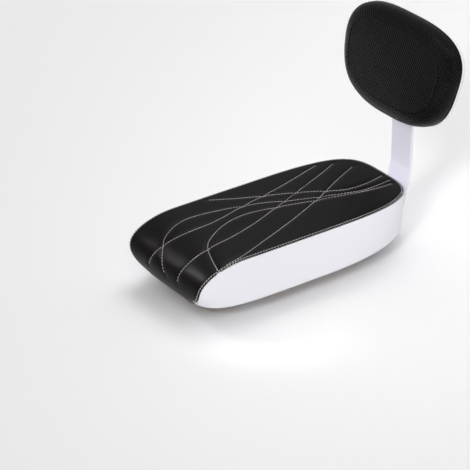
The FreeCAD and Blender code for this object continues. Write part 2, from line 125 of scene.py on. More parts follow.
class BackrestSizes(bpy.types.PropertyGroup):
    """Sizes of the backrest's pad."""

    half_width: size_property("Half width", "Half the width of the pad", 101.0)
    half_height: size_property("Half height", "Half the height of the pad", 66.5)
    centre_up: size_property("Centre", "Height of the pad's middle above the bar's bend", 33.0)
    seam: size_property("Back seam", "Depth of the seam between back and border", 7.2)
    rim: size_property("Rim", "Depth of the front's edge", 31.2)
    front_round: size_property("Front edge", "Rounding of the border into the front", 20.0)
    crown: size_property("Crown", "Rise of the front before it swells", 3.5)
    back_round: size_property("Back edge", "Rounding of the back's edge", 5.0)
    neck_y: size_property("Bar place", "Place of the bar's middle at its bend", 186.0)
    neck_z: size_property("Bar bend height", "Height of the bar's bend", 165.0)
    bar_half: size_property("Half bar", "Half the bar's thickness", 2.0)
    swell: size_property("Largest swell", "How far the filling may push the cover out", 2.0)
    taper: bpy.props.FloatProperty(
        name="Taper", description="Share by which the top is wider", default=0.09
    )
    tilt: bpy.props.FloatProperty(
        name="Tilt", description="Lean of the pad", default=math.radians(11.5), subtype="ANGLE"
    )


class StitchSizes(bpy.types.PropertyGroup):
    """Sizes of the stitches."""

    length: size_property("Stitch length", "Length of one stitch", 3.4)
    gap: size_property("Stitch gap", "Gap between two stitches", 0.7)
    radius: size_property("Thread radius", "Half the thickness of the thread", 0.45)
    groove: size_property("Groove depth", "How far a stitch line pulls the cover in", 1.1)
    groove_width: size_property("Groove width", "Half the width of that groove", 3.2)
    edge: size_property("Edge distance", "From the seam to the edge stitch", 2.6)


class FinishColours(bpy.types.PropertyGroup):
    """Colours of the finishes."""

    black: colour_property("Black leathercloth", "Colour of the top panel", "#0D0A0A")
    backrest: colour_property("Black perforated leathercloth", "Colour of the backrest's front", "#0A0A09")
    white: colour_property("White leathercloth", "Colour of the band and the backrest's back", "#F6F5FB")
    thread: colour_property("Thread", "Colour of the stitches", "#B9B4B2")
    paint: colour_property("Powder paint", "Colour of the bar", "#EFEDF9")
    zinc: colour_property("Zinc plate", "Colour of clamps and fasteners", "#C3C5C9")
    ply: colour_property("Birch plywood", "Colour of the boards", "#C39A66")
    floor: colour_property("Floor", "Colour of the floor", "#FCFCFD")


# Shapes of the seat, in millimetres

FRONT_POWER = 5.0
BASE_REAR_POWER = 2.45
SEAM_REAR_POWER = 3.8
CROWN_POWER = 4.0
RISE_POWER = 1.3
BULGE_POWER = 1.4
ROW_STEP = 100.0
FOOT_ROW = -0.945
LAST_ROW = 3.75
REAR_CORNER = 58.0
SEAT_ROWS = 96
INNER_COLUMNS = 33
INNER_START = 0.055
EDGE_COLUMNS = np.array([0.0, 0.012, 0.03])
BAND_ROWS = 12

# How finely seams and stitch lines are followed
SIDE_POINTS = 1500
REAR_POINTS = 400
LINE_POINTS = 160
EDGE_LINE_POINTS = 700
HALVINGS = 40

# Where the search for the seam goes: across in millimetres, and rows at the rear
WIDEST_SEARCH = 120.0
REAR_SEARCH = (2.0, 4.0)

# Each stitch line runs through places given as across in millimetres and row along the seat.
STITCH_LINES = (
    ((-30, -0.15), (-21, 0.45), (-15, 0.85), (-17, 1.2), (-29, 1.7), (-42, 2.33), (-64, 3.1)),
    ((30, -0.05), (32, 0.4), (31, 0.8), (26, 1.15), (15, 1.55), (-2, 2.0), (-38, 2.92), (-56, 3.33)),
    ((73, 0.72), (71, 0.95), (60, 1.28), (44, 1.73), (26, 2.19), (6, 2.63), (-17, 3.08), (-35, 3.48)),
    ((7, 3.6), (12, 3.3), (10, 3.0), (-3, 2.75), (-20, 2.44), (-35, 2.1), (-48, 1.8), (-68, 1.44)),
    (
        (22, 3.6), (24, 3.3), (19, 3.0), (-4, 2.33), (-22, 1.94),
        (-37, 1.4), (-42, 0.95), (-31, 0.57), (-10, 0.27), (6, -0.1),
    ),
    (
        (31, 3.56), (28, 3.24), (12, 2.56), (-4, 1.98), (-10, 1.6),
        (-5, 1.28), (10, 0.98), (30, 0.77), (75, 0.58),
    ),
)


def seat_mm(name):
    """A size of the seat's cover in millimetres."""
    return getattr(bpy.context.scene.cushion_seat, name) / MM


def pad_mm(name):
    """A size of the backrest's pad in millimetres."""
    return getattr(bpy.context.scene.cushion_backrest, name) / MM


def stitch_mm(name):
    """A size of the stitches in millimetres."""
    return getattr(bpy.context.scene.cushion_stitch, name) / MM


def power_pair(angle, power):
    """Cosine and sine, each raised to two over the power with its sign kept: a squared-off circle."""
    cosine = np.cos(angle)
    sine = np.sin(angle)
    exponent = 2.0 / power
    return np.sign(cosine) * np.abs(cosine) ** exponent, np.sign(sine) * np.abs(sine) ** exponent


def seat_top(across, row):
    """A front that leans back with the square of the way down from its belly, a quarter of an ellipse above
    it, then level rows; all grow by a crown that falls off with a power of the distance from the middle."""
    crown = 1.0 - np.abs(across / seat_mm("seam_half_width")) ** CROWN_POWER
    angle = np.pi / 2 * np.clip(row, 0.0, 1.0)
    below = np.maximum(-row, 0.0)
    belly = seat_mm("belly_y")
    belly_height = seat_mm("belly_height")
    length = seat_mm("round_length")
    rise = seat_mm("seam_height") + seat_mm("top_crown") * crown - belly_height
    y = belly + length - (length + seat_mm("front_crown") * crown) * np.cos(angle)
    y = y + (seat_mm("toe_y") - belly) * below**2 + ROW_STEP * np.maximum(row - 1.0, 0.0)
    z = belly_height * (1.0 - below) + rise * np.sin(angle)
    return np.stack([across + 0.0 * row, y, z], axis=-1)


def wall_sizes(height):
    """Half width, front length, rear length and rear power of the band at a height: the front length rises
    with a power of a sine, the others move from foot to seam with a power of the height."""
    share = (np.maximum(height, 0.0) / seat_mm("seam_height")) ** BULGE_POWER
    up = np.sin(np.pi / 2 * np.clip(height / seat_mm("front_rise"), 0.0, 1.0)) ** RISE_POWER
    base = seat_mm("base_half_width")
    front = seat_mm("base_front")
    rear = seat_mm("base_rear")
    half_width = base + share * (seat_mm("seam_half_width") - base)
    front_length = front + up * (seat_mm("seam_front") - front)
    rear_length = rear + share * (seat_mm("seam_rear") - rear)
    rear_power = BASE_REAR_POWER + share * (SEAM_REAR_POWER - BASE_REAR_POWER)
    return half_width, front_length, rear_length, rear_power


def wall_shares(points):
    """Points as shares of the band's half width and length at their height, and the outline's power."""
    half_width, front_length, rear_length, rear_power = wall_sizes(points[..., 2])
    along = points[..., 1] - seat_mm("widest_y")
    length = np.where(along >= 0, rear_length, front_length)
    return points[..., 0] / half_width, along / length, np.where(along >= 0, rear_power, FRONT_POWER)


def wall_level(points):
    """Sum of the two squared-off coordinates of the band's outline at a point's height: one on the band,
    less inside."""
    across, along, power = wall_shares(points)
    return np.abs(across) ** power + np.abs(along) ** power


def wall_angle(points):
    """The outline's own angle at points on the band."""
    across, along, power = wall_shares(points)
    sine = np.sign(across) * np.abs(across) ** (power / 2)
    cosine = np.sign(along) * np.abs(along) ** (power / 2)
    return np.arctan2(sine, cosine)


def wall_point(angle, height):
    """Point of the band at an outline angle and a height: a squared-off ellipse, rounder at the rear."""
    half_width, front_length, rear_length, rear_power = wall_sizes(height)
    at_rear = np.cos(angle) >= 0
    cosine, sine = power_pair(angle, np.where(at_rear, rear_power, FRONT_POWER))
    along = seat_mm("widest_y") + np.where(at_rear, rear_length, front_length) * cosine
    return np.stack([half_width * sine, along, height + 0.0 * angle], axis=-1)


def halve(test, low, high):
    """Finds where a rising test passes one between two arrays, by halving the interval."""
    low = np.array(low, dtype=float)
    high = np.array(high, dtype=float)
    for _ in range(HALVINGS):
        middle = (low + high) / 2
        outside = test(middle) > 1.0
        high = np.where(outside, middle, high)
        low = np.where(outside, low, middle)
    return (low + high) / 2


def way_along(points):
    """Length of a polyline up to each of its points."""
    steps = np.linalg.norm(np.diff(points, axis=0), axis=1)
    return np.concatenate([[0.0], np.cumsum(steps)])


def unit(vectors):
    """Directions scaled to a length of one."""
    return vectors / np.linalg.norm(vectors, axis=-1, keepdims=True)


def even(points, lengths_of, count):
    """Points at even distances along a polyline, measured on another polyline of the same points."""
    travelled = way_along(lengths_of)
    places = np.linspace(0.0, travelled[-1], count)
    return np.stack([np.interp(places, travelled, column) for column in points.T], axis=1)


def patch(front, rear, right, left, u, v):
    """Coons patch: the two ruled surfaces between opposite edges, added, less the flat patch of the
    corners. u goes across from right to left and v along from front to rear."""
    across = u[None, :, None]
    along = v[:, None, None]
    ruled = (1 - along) * front[None] + along * rear[None]
    crossed = (1 - across) * right[:, None] + across * left[:, None]
    corners = (1 - along) * ((1 - across) * front[0] + across * front[-1])
    corners = corners + along * ((1 - across) * rear[0] + across * rear[-1])
    return ruled + crossed - corners


def around(grid):
    """The first column, the last row and the last column of a grid, in order round it."""
    return np.concatenate([grid[:, 0], grid[-1, 1:-1], grid[::-1, -1]])


def seat_panel_plan():
    """Across and row coordinates of the top panel's grid: a patch between the front's lower edge, the two
    side seams and the rear seam, with closer columns beside the seams."""
    rows = np.linspace(FOOT_ROW, LAST_ROW, SIDE_POINTS)
    limits = np.zeros_like(rows)
    reach = halve(lambda x: wall_level(seat_top(x, rows)), limits, limits + WIDEST_SEARCH)
    last_row = halve(lambda w: wall_level(seat_top(REAR_CORNER, w)), *REAR_SEARCH)
    side_rows = np.concatenate([rows[rows < last_row], [float(last_row)]])
    side_reach = np.interp(side_rows, rows, reach)
    side_reach[-1] = REAR_CORNER
    right = np.stack([side_reach, side_rows], axis=1)
    right = even(right, seat_top(right[:, 0], right[:, 1]), SEAT_ROWS + 1)

    rear_x = np.linspace(REAR_CORNER, -REAR_CORNER, REAR_POINTS)
    first, last = (np.full_like(rear_x, row) for row in REAR_SEARCH)
    rear_rows = halve(lambda w: wall_level(seat_top(rear_x, w)), first, last)
    rear = np.stack([rear_x, rear_rows], axis=1)
    inner = np.linspace(INNER_START, 1.0 - INNER_START, INNER_COLUMNS)
    u = np.concatenate([EDGE_COLUMNS, inner, 1.0 - EDGE_COLUMNS[::-1]])
    fine = np.linspace(0.0, 1.0, REAR_POINTS)
    rear = even(rear, seat_top(rear_x, rear_rows), REAR_POINTS)
    rear = np.stack([np.interp(u, fine, column) for column in rear.T], axis=1)
    left = right * np.array([-1.0, 1.0])
    front = np.stack([right[0, 0] * (1 - 2 * u), np.full_like(u, FOOT_ROW)], axis=1)
    return patch(front, rear, right, left, u, np.linspace(0.0, 1.0, SEAT_ROWS + 1))


def seat_band(seam):
    """Band below the seam: each column keeps the outline's angle and comes down to the lower rounding."""
    foot = seat_mm("edge_round")
    share = np.linspace(0.0, 1.0, BAND_ROWS + 1)[:, None]
    heights = seam[None, :, 2] + share * (np.minimum(foot, seam[None, :, 2]) - seam[None, :, 2])
    angles = np.broadcast_to(wall_angle(seam)[None, :], heights.shape)
    band = wall_point(angles, heights)
    band[0] = seam
    return band


def inward_of(loop):
    """Level direction into a closed loop: the loop's own direction turned by a right angle."""
    run = np.roll(loop, -1, axis=0) - np.roll(loop, 1, axis=0)
    turned = np.stack([-run[:, 1], run[:, 0], np.zeros(len(run))], axis=1)
    return unit(turned)


def lower_edge(loop):
    """Rounded edge and turned-under flange below a loop: a quarter circle inwards, as wide as the loop is
    high, then a level strip."""
    flange = seat_mm("flange")
    radius = loop[:, 2]
    inward = inward_of(loop)
    turn = np.radians([30.0, 60.0, 90.0])
    level = radius + flange * np.array([[0.5], [1.0]])
    moved = np.concatenate([radius * (1 - np.cos(turn))[:, None], level])
    height = np.concatenate([1 - np.sin(turn), [0.0, 0.0]])
    rings = loop[None] + inward[None] * moved[:, :, None]
    rings[..., 2] = loop[None, :, 2] * height[:, None]
    return rings


# Mesh helpers


def grid_corners(values):
    """The four corners of each cell of a grid of values, in order round the cell."""
    corners = [values[:-1, :-1], values[:-1, 1:], values[1:, 1:], values[1:, :-1]]
    return np.stack(corners, axis=2).reshape(-1, 4, *values.shape[2:])


def numbered(rows, columns, first=0):
    """Point numbers of a grid, row by row."""
    return first + np.arange(rows * columns).reshape(rows, columns)


def quads(numbers, closed=False):
    """Quads between the points of a grid of numbers; a closed grid joins its last column to its first."""
    if closed:
        numbers = np.concatenate([numbers, numbers[:, :1]], axis=1)
    return grid_corners(numbers)


def face_lists(*groups):
    """Faces of several arrays as one list of lists."""
    return [[int(number) for number in face] for group in groups for face in group]


def add_object(name, data):
    """An object of the scene with its data."""
    added = bpy.data.objects.new(name, data)
    bpy.context.scene.collection.objects.link(added)
    return added


def new_mesh(name, points_mm, faces):
    """A mesh object from points in millimetres and quads or triangles."""
    mesh = bpy.data.meshes.new(name)
    mesh.from_pydata((np.asarray(points_mm).reshape(-1, 3) * MM).tolist(), [], face_lists(faces))
    mesh.update()
    return add_object(name, mesh)


def points_of(mesh):
    """All vertices of a mesh in millimetres."""
    flat = np.empty(len(mesh.vertices) * 3)
    mesh.vertices.foreach_get("co", flat)
    return flat.reshape(-1, 3) / MM


def normals_of(mesh):
    """All vertex normals of a mesh."""
    flat = np.empty(len(mesh.vertices) * 3)
    mesh.vertex_normals.foreach_get("vector", flat)
    return flat.reshape(-1, 3)


def set_points(mesh, points_mm):
    """Moves all vertices of a mesh."""
    mesh.vertices.foreach_set("co", (points_mm * MM).ravel())
    mesh.update()


def smooth(piece):
    """Smooth shading all over."""
    piece.data.polygons.foreach_set("use_smooth", np.ones(len(piece.data.polygons), dtype=bool))


def apply_modifiers(piece):
    """Replaces a piece's mesh by what its modifiers give."""
    graph = bpy.context.evaluated_depsgraph_get()
    finished = bpy.data.meshes.new_from_object(piece.evaluated_get(graph))
    piece.modifiers.clear()
    piece.data = finished


def subdivide(piece):
    """One applied step of Catmull-Clark subdivision."""
    modifier = piece.modifiers.new("Subdivision", "SUBSURF")
    modifier.levels = 1
    modifier.render_levels = 1
    modifier.boundary_smooth = "PRESERVE_CORNERS"
    apply_modifiers(piece)


def thicken(piece, thickness_mm):
    """Gives a sheet its thickness on the inner side."""
    modifier = piece.modifiers.new("Thickness", "SOLIDIFY")
    modifier.thickness = thickness_mm * MM
    modifier.offset = -1.0
    apply_modifiers(piece)


def swell(points_mm, faces, held, cap_mm):
    """Blows up a closed cover with Blender's cloth, held by weights, and returns its new points.
    The movement is eased so that no point passes the cap."""
    piece = new_mesh("swelling", points_mm, faces)
    group = piece.vertex_groups.new(name="held")
    levels = np.round(held * 10) / 10
    for level in np.unique(levels[levels > 0]):
        group.add(np.flatnonzero(levels == level).tolist(), float(level), "REPLACE")
    modifier = piece.modifiers.new("Cloth", "CLOTH")
    settings = modifier.settings
    settings.quality = 6
    settings.mass = 0.3
    settings.tension_stiffness = 12.0
    settings.compression_stiffness = 12.0
    settings.shear_stiffness = 5.0
    settings.bending_stiffness = 0.8
    settings.use_pressure = True
    settings.uniform_pressure_force = 4.0
    settings.effector_weights.gravity = 0.0
    settings.vertex_group_mass = "held"
    settings.pin_stiffness = 1.0
    modifier.collision_settings.use_collision = False
    modifier.point_cache.frame_start = 1
    modifier.point_cache.frame_end = SIM_FRAMES
    for number in range(1, SIM_FRAMES + 1):
        bpy.context.scene.frame_set(number)
    apply_modifiers(piece)
    moved = points_of(piece.data) - points_mm
    bpy.data.objects.remove(piece)
    bpy.context.scene.frame_set(1)
    distance = np.linalg.norm(moved, axis=1, keepdims=True)
    return points_mm + moved * cap_mm / (cap_mm + distance)


def nearest(points, targets):
    """Distance from each point to the closest target, and that target's number, in blocks of targets."""
    best = np.full(len(points), np.inf)
    number = np.zeros(len(points), dtype=int)
    for start in range(0, len(targets), TARGETS_AT_ONCE):
        block = targets[start : start + TARGETS_AT_ONCE]
        distance = np.linalg.norm(points[:, None] - block[None], axis=2)
        closest = distance.argmin(axis=1)
        value = distance[np.arange(len(points)), closest]
        number = np.where(value < best, closest + start, number)
        best = np.minimum(value, best)
    return best, number


def bell(distance, width):
    """Bell curve of a distance: one at the line, gone at about twice the width."""
    return np.exp(-((distance / width) ** 2))


def add_sheet_map(piece, corners_mm):
    """Stores a place on the sheet, in metres, for each corner of each face, as the piece's UV map."""
    layer = piece.data.uv_layers.new(name="Sheet")
    layer.data.foreach_set("uv", (corners_mm * MM).ravel())


# Materials

# Grain of the leathercloth, in millimetres
GRAIN_CELL = 1.6
BLACK_GRAIN_DEPTH = 0.12
WHITE_GRAIN_DEPTH = 0.06

# Punched holes: rows and dimples in millimetres, the hole's inner and outer edge in shares of a row
HOLE_ROWS = 4.4
HOLE_EDGE = (0.19, 0.28)
# The holes' near-black is painted shade: it stands in for the dark inside each hole
HOLE_SHADE_COLOUR = (0.002, 0.002, 0.002, 1.0)
DIMPLE_DEPTH = 0.8


def add_node(tree, kind, inputs=None, **settings):
    """Adds one node with its settings; an input is a value or another node's socket."""
    node = tree.nodes.new(kind)
    for name, value in settings.items():
        setattr(node, name, value)
    for name, value in (inputs or {}).items():
        if isinstance(value, bpy.types.NodeSocket):
            tree.links.new(value, node.inputs[name])
        else:
            node.inputs[name].default_value = value
    return node


def new_material(name, inputs):
    """A material with its shader, set by these inputs, joined to its output."""
    material = bpy.data.materials.new(name)
    material.use_nodes = True
    tree = material.node_tree
    tree.nodes.clear()
    shader = add_node(tree, "ShaderNodeBsdfPrincipled", inputs)
    add_node(tree, "ShaderNodeOutputMaterial", {"Surface": shader.outputs["BSDF"]})
    return material, tree, shader


def finish_colour(name):
    """A finish colour with full alpha."""
    return (*getattr(bpy.context.scene.cushion_finish, name), 1.0)


def leather_grain(tree, cell_mm, depth_mm):
    """Embossed leather grain: rounded cells with softer noise over them, as a bump."""
    place = add_node(tree, "ShaderNodeTexCoord").outputs["Object"]
    scale = 1 / (cell_mm * MM)
    cells = add_node(tree, "ShaderNodeTexVoronoi", {"Vector": place, "Scale": scale}, feature="F1")
    cloud = add_node(tree, "ShaderNodeTexNoise", {"Vector": place, "Scale": scale / 3, "Detail": 3.0})
    height = add_node(
        tree, "ShaderNodeMath", {0: cells.outputs["Distance"], 1: cloud.outputs["Fac"]}, operation="ADD"
    )
    return add_node(
        tree, "ShaderNodeBump", {"Height": height.outputs[0], "Distance": depth_mm * MM, "Strength": 0.5}
    )


def black_leathercloth():
    """Embossed PVC leathercloth: soft satin sheen on a fine pebbled grain. The real grain of about 0.8 mm
    is drawn at 1.6 mm so that it shows."""
    inputs = {"Base Color": finish_colour("black"), "Roughness": 0.38, "IOR": 1.18}
    material, tree, shader = new_material("Black PVC leathercloth", inputs)
    grain = leather_grain(tree, GRAIN_CELL, BLACK_GRAIN_DEPTH)
    tree.links.new(grain.outputs["Normal"], shader.inputs["Normal"])
    return material


def white_leathercloth():
    """The same leathercloth in white: the grain hardly shows, only a soft sheen."""
    inputs = {"Base Color": finish_colour("white"), "Roughness": 0.48, "IOR": 1.5}
    material, tree, shader = new_material("White PVC leathercloth", inputs)
    grain = leather_grain(tree, GRAIN_CELL, WHITE_GRAIN_DEPTH)
    tree.links.new(grain.outputs["Normal"], shader.inputs["Normal"])
    return material


def hole_distance(tree, sheet, shift):
    """One of two square grids of punched holes: distance from the middle of each cell, in cells."""
    scaled = add_node(
        tree,
        "ShaderNodeVectorMath",
        {0: sheet, 1: (1 / (HOLE_ROWS * MM),) * 3, 2: (shift, shift, 0.0)},
        operation="MULTIPLY_ADD",
    )
    part = add_node(tree, "ShaderNodeVectorMath", {0: scaled.outputs[0]}, operation="FRACTION")
    middle = (0.5, 0.5, 0.0)
    centred = add_node(tree, "ShaderNodeVectorMath", {0: part.outputs[0], 1: middle}, operation="SUBTRACT")
    distance = add_node(tree, "ShaderNodeVectorMath", {0: centred.outputs[0]}, operation="LENGTH")
    return distance.outputs["Value"]


def perforated_leathercloth():
    """Leathercloth punched with rows of small holes, staggered at 4.4 mm: dark dots, painted shade that
    stands in for the depth of each hole, in a satin sheet that sinks towards each of them. The holes of
    about 1 mm are drawn at about 2 mm so that they show."""
    inputs = {"Roughness": 0.26, "IOR": 1.18}
    material, tree, shader = new_material("Black perforated leathercloth", inputs)
    sheet = add_node(tree, "ShaderNodeUVMap", uv_map="Sheet").outputs["UV"]
    first = hole_distance(tree, sheet, 0.0)
    second = hole_distance(tree, sheet, 0.5)
    distance = add_node(tree, "ShaderNodeMath", {0: first, 1: second}, operation="MINIMUM").outputs[0]
    inner, outer = HOLE_EDGE
    holes = add_node(
        tree,
        "ShaderNodeMapRange",
        {"Value": distance, "From Min": inner, "From Max": outer, "To Min": 1.0, "To Max": 0.0},
    )
    # Mixes the holes' painted shade into the sheet's colour
    colour = add_node(
        tree,
        "ShaderNodeMix",
        {"Factor": holes.outputs[0], "A": finish_colour("backrest"), "B": HOLE_SHADE_COLOUR},
        data_type="RGBA",
    )
    tree.links.new(colour.outputs["Result"], shader.inputs["Base Color"])
    pillow = add_node(
        tree, "ShaderNodeMapRange", {"Value": distance, "From Max": 0.5}, interpolation_type="SMOOTHSTEP"
    )
    relief = {"Height": pillow.outputs[0], "Distance": DIMPLE_DEPTH * MM, "Strength": 1.0}
    bump = add_node(tree, "ShaderNodeBump", relief)
    tree.links.new(bump.outputs["Normal"], shader.inputs["Normal"])
    return material


def bonded_thread():
    """Bonded polyester sewing thread: pale and matt with a slight sheen."""
    inputs = {"Base Color": finish_colour("thread"), "Roughness": 0.65, "Sheen Weight": 0.2}
    return new_material("Bonded polyester thread", inputs)[0]


def powder_paint():
    """White powder coat on steel: smooth and half glossy, with faint orange peel of about 4 mm."""
    inputs = {"Base Color": finish_colour("paint"), "Roughness": 0.32}
    material, tree, shader = new_material("White powder coat", inputs)
    place = add_node(tree, "ShaderNodeTexCoord").outputs["Object"]
    peel = add_node(tree, "ShaderNodeTexNoise", {"Vector": place, "Scale": 1 / (4.0 * MM), "Detail": 1.0})
    bump = add_node(
        tree, "ShaderNodeBump", {"Height": peel.outputs["Fac"], "Distance": 0.05 * MM, "Strength": 0.3}
    )
    tree.links.new(bump.outputs["Normal"], shader.inputs["Normal"])
    return material


def zinc_plate():
    """Zinc-plated steel: bluish bright metal with cloudy roughness in patches of about 6 mm."""
    inputs = {"Base Color": finish_colour("zinc"), "Metallic": 1.0}
    material, tree, shader = new_material("Zinc plated steel", inputs)
    place = add_node(tree, "ShaderNodeTexCoord").outputs["Object"]
    cloud = add_node(tree, "ShaderNodeTexNoise", {"Vector": place, "Scale": 1 / (6.0 * MM), "Detail": 4.0})
    rough = add_node(
        tree, "ShaderNodeMapRange", {"Value": cloud.outputs["Fac"], "To Min": 0.28, "To Max": 0.44}
    )
    tree.links.new(rough.outputs["Result"], shader.inputs["Roughness"])
    return material


def birch_plywood():
    """Birch plywood, sanded: long pale grain along the board, with lines about 3 mm apart."""
    material, tree, shader = new_material("Birch plywood", {"Roughness": 0.7})
    place = add_node(tree, "ShaderNodeTexCoord").outputs["Object"]
    stretch = (1 / (3 * MM), 1 / (60 * MM), 1 / (3 * MM))
    drawn = add_node(tree, "ShaderNodeMapping", {"Vector": place, "Scale": stretch}).outputs[0]
    grain = add_node(tree, "ShaderNodeTexNoise", {"Vector": drawn, "Scale": 1.0, "Detail": 4.0})
    base = finish_colour("ply")
    dark = (base[0] * 0.7, base[1] * 0.66, base[2] * 0.6, 1.0)
    colour = add_node(
        tree, "ShaderNodeMix", {"Factor": grain.outputs["Fac"], "A": base, "B": dark}, data_type="RGBA"
    )
    tree.links.new(colour.outputs["Result"], shader.inputs["Base Color"])
    return material


def give(piece, material):
    """Makes a material the only one of a piece."""
    piece.data.materials.clear()
    piece.data.materials.append(material)


def kept_material(builder):
    """The material that a function makes, made once."""
    if builder not in MADE_MATERIALS:
        MADE_MATERIALS[builder] = builder()
    return MADE_MATERIALS[builder]


# What one operator leaves for the next
MADE_MATERIALS = {}
SHARED = {}


# Stitching

THREAD_SIDES = 6

# Rings of one stitch: place in half lengths, height and width in thread radii
RING_PLACES = np.array([-1.0, -0.75, 0.0, 0.75, 1.0])
RING_HEIGHTS = np.array([-0.9, 0.05, 0.35, 0.05, -0.9])
RING_WIDTHS = np.array([0.5, 0.95, 1.0, 0.95, 0.5])


def smooth_line(places, count):
    """A smooth line through given points: cubic Hermite spans with slopes from the neighbours."""
    places = np.array(places, dtype=float)
    slopes = np.gradient(places, axis=0)
    position = np.linspace(0.0, len(places) - 1.0, count)
    index = np.minimum(position.astype(int), len(places) - 2)
    t = (position - index)[:, None]
    start = places[index]
    end = places[index + 1]
    bend = (2 * t**3 - 3 * t**2 + 1) * start + (t**3 - 2 * t**2 + t) * slopes[index]
    return bend + (3 * t**2 - 2 * t**3) * end + (t**3 - t**2) * slopes[index + 1]


def stitch_paths():
    """The decorative lines as points of the top panel before it swells."""
    lines = [smooth_line(places, LINE_POINTS) for places in STITCH_LINES]
    return [seat_top(line[:, 0], line[:, 1]) for line in lines]


def on_surface(path, mesh):
    """A path dropped on a mesh along the plane of its nearest vertex, and the mesh's directions there."""
    points = points_of(mesh)
    normals = normals_of(mesh)
    _, number = nearest(path, points)
    facing = normals[number]
    height = np.sum((path - points[number]) * facing, axis=1, keepdims=True)
    return path - facing * height, facing


def stitch_shape(path, facing):
    """Stitches along a path: a row of short threads, each arched, with ends that dive in."""
    length = stitch_mm("length")
    radius = stitch_mm("radius")
    travelled = way_along(path)
    pitch = length + stitch_mm("gap")
    count = int(travelled[-1] / pitch)
    places = (np.arange(count)[:, None] + 0.5) * pitch + RING_PLACES[None] * length / 2
    middle, up, along = (
        np.stack([np.interp(places, travelled, column) for column in values.T], axis=-1)
        for values in (path, facing, np.gradient(path, axis=0))
    )
    side = unit(np.cross(along, up))
    middle = middle + up * (RING_HEIGHTS * radius)[None, :, None]
    turn = (2 * np.pi * np.arange(THREAD_SIDES) / THREAD_SIDES)[None, None, :, None]
    ring = side[:, :, None] * np.cos(turn) + up[:, :, None] * np.sin(turn)
    points = middle[:, :, None] + ring * (RING_WIDTHS * radius)[None, :, None, None]
    return points.reshape(-1, 3), stitch_faces(count)


def stitch_faces(count):
    """Faces of a number of stitches, each a few rings of points with two closed ends."""
    rings = numbered(len(RING_PLACES), THREAD_SIDES)
    first = rings.size * np.arange(count)[:, None, None]
    sides = (quads(rings, closed=True)[None] + first).reshape(-1, 4)
    ends = np.stack([np.roll(rings[0, ::-1], 1), rings[-1]])
    ends = (ends[None] + first).reshape(-1, THREAD_SIDES)
    return face_lists(sides[:, ::-1], ends[:, ::-1])


def stitch_piece(name, paths_and_facing):
    """One object of all stitches along several paths."""
    all_points = []
    all_faces = []
    first = 0
    for path, facing in paths_and_facing:
        points, faces = stitch_shape(path, facing)
        all_points.append(points)
        all_faces += [[first + number for number in face] for face in faces]
        first += len(points)
    piece = new_mesh(name, np.concatenate(all_points), all_faces)
    smooth(piece)
    give(piece, kept_material(bonded_thread))
    return piece


# Operators


class CUSHION_OT_seat_cover(bpy.types.Operator):
    """Makes the seat's top panel and side band, swollen by the filling"""

    bl_idname = "cushion_seat.seat_cover"
    bl_label = "Seat cover"

    def execute(self, context):
        plan = seat_panel_plan()
        panel = seat_top(plan[..., 0], plan[..., 1])
        seam = around(panel)
        band = seat_band(seam)
        front = panel[0, ::-1][1:-1]
        loop = np.concatenate([band[-1], front])
        edge = lower_edge(loop)

        panel_numbers = numbered(*panel.shape[:2])
        seam_numbers = around(panel_numbers)
        band_numbers = numbered(BAND_ROWS, len(seam), panel_numbers.size)
        edge_numbers = numbered(len(edge), len(loop), panel_numbers.size + band_numbers.size)
        band_numbers = np.concatenate([seam_numbers[None], band_numbers])
        loop_numbers = np.concatenate([band_numbers[-1], panel_numbers[0, ::-1][1:-1]])
        edge_numbers = np.concatenate([loop_numbers[None], edge_numbers])
        points = np.concatenate([panel.reshape(-1, 3), band[1:].reshape(-1, 3), edge.reshape(-1, 3)])
        middle = np.array([[0.0, seat_mm("widest_y"), 0.0]])
        hub = np.full(len(loop), len(points))
        closing = np.stack([edge_numbers[-1], np.roll(edge_numbers[-1], -1), hub], axis=1)
        groups = (quads(panel_numbers), quads(band_numbers), quads(edge_numbers, closed=True), closing)
        faces = face_lists(*(group[:, ::-1] for group in groups))
        points = np.concatenate([points, middle])

        held = np.zeros(len(points))
        held[points[:, 2] < HELD_HEIGHT] = 1.0
        held[seam_numbers] = 1.0
        distance, _ = nearest(panel.reshape(-1, 3), np.concatenate(stitch_paths()))
        sewn = np.flatnonzero(distance < STITCH_HOLD_REACH)
        held[sewn] = np.maximum(held[sewn], STITCH_HOLD)
        swollen = swell(points, faces, held, seat_mm("swell"))

        front_numbers = np.concatenate([edge_numbers[:, len(seam) - 1 :], edge_numbers[:, :1]], axis=1)
        panel_grid = np.concatenate([front_numbers[:0:-1, ::-1], panel_numbers])
        panel_faces = quads(numbered(*panel_grid.shape))[:, ::-1]
        panel_piece = new_mesh("seat_top_cover", swollen[panel_grid], panel_faces)
        band_grid = np.concatenate([band_numbers, edge_numbers[1:, : len(seam)]])
        band_faces = quads(numbered(*band_grid.shape))[:, ::-1]
        band_piece = new_mesh("seat_band_cover", swollen[band_grid], band_faces)
        seam_line = swollen[seam_numbers]
        for piece in (panel_piece, band_piece):
            subdivide(piece)
            moved = points_of(piece.data)
            facing = normals_of(piece.data)
            distance, _ = nearest(moved, seam_line)
            push = -SEAM_DEPTH * bell(distance, SEAM_WIDTH)
            if piece is panel_piece:
                push = push + seat_mm("edge_roll") * (1 - bell(distance, ROLL_WIDTH))
                for path in stitch_paths():
                    dropped, _ = on_surface(path, piece.data)
                    distance, _ = nearest(moved, dropped)
                    push = push - stitch_mm("groove") * bell(distance, stitch_mm("groove_width"))
            set_points(piece.data, moved + facing * push[:, None])
            smooth(piece)
        SHARED["panel"] = panel_piece.data.copy()
        for piece, material, slot, nodes in (
            (panel_piece, black_leathercloth, "black_leathercloth", ("seat_top_panel", "seat_foam")),
            (band_piece, white_leathercloth, "white_leathercloth", ("seat_side_band",)),
        ):
            thicken(piece, seat_mm("cover"))
            smooth(piece)
            give(piece, kept_material(material))
            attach(piece, "root")
            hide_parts(*nodes)
        return {"FINISHED"}


